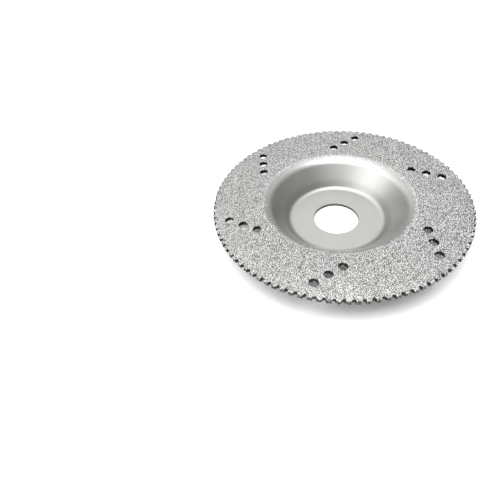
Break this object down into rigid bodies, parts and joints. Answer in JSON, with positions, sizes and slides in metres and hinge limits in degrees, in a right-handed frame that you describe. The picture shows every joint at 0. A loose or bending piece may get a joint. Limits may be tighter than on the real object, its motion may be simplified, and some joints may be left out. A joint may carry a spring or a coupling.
{
  "type": "diamond grinding wheel",
  "caption": "Depressed-centre diamond grinding wheel: a dished steel disc with a plain bore, a toothed rim coated with diamond grit on both faces, and slanted rows of cooling holes.",
  "frame": {"origin": "centre of the bore in the hub's back face, the face that the wheel rests on", "axes": "+Z along the spindle axis, out of the dished front; +X through the innermost hole of one row of cooling holes"},
  "size_m": [0.11, 0.11, 0.0135],
  "materials": {
    "satin_steel": "satin, pressed and nickel plated, faintly brushed on the cone",
    "nickel_bond": "matt grey nickel bond between the grains",
    "diamond_grit": "coarse sparkling grains, light grey with dark specks"
  },
  "bodies": {
    "root": {"steel_core": "satin_steel", "front_bond_layer": "nickel_bond", "front_diamond_grit": "diamond_grit", "back_bond_layer": "nickel_bond", "back_diamond_grit": "diamond_grit"}
  },
  "joints": []
}
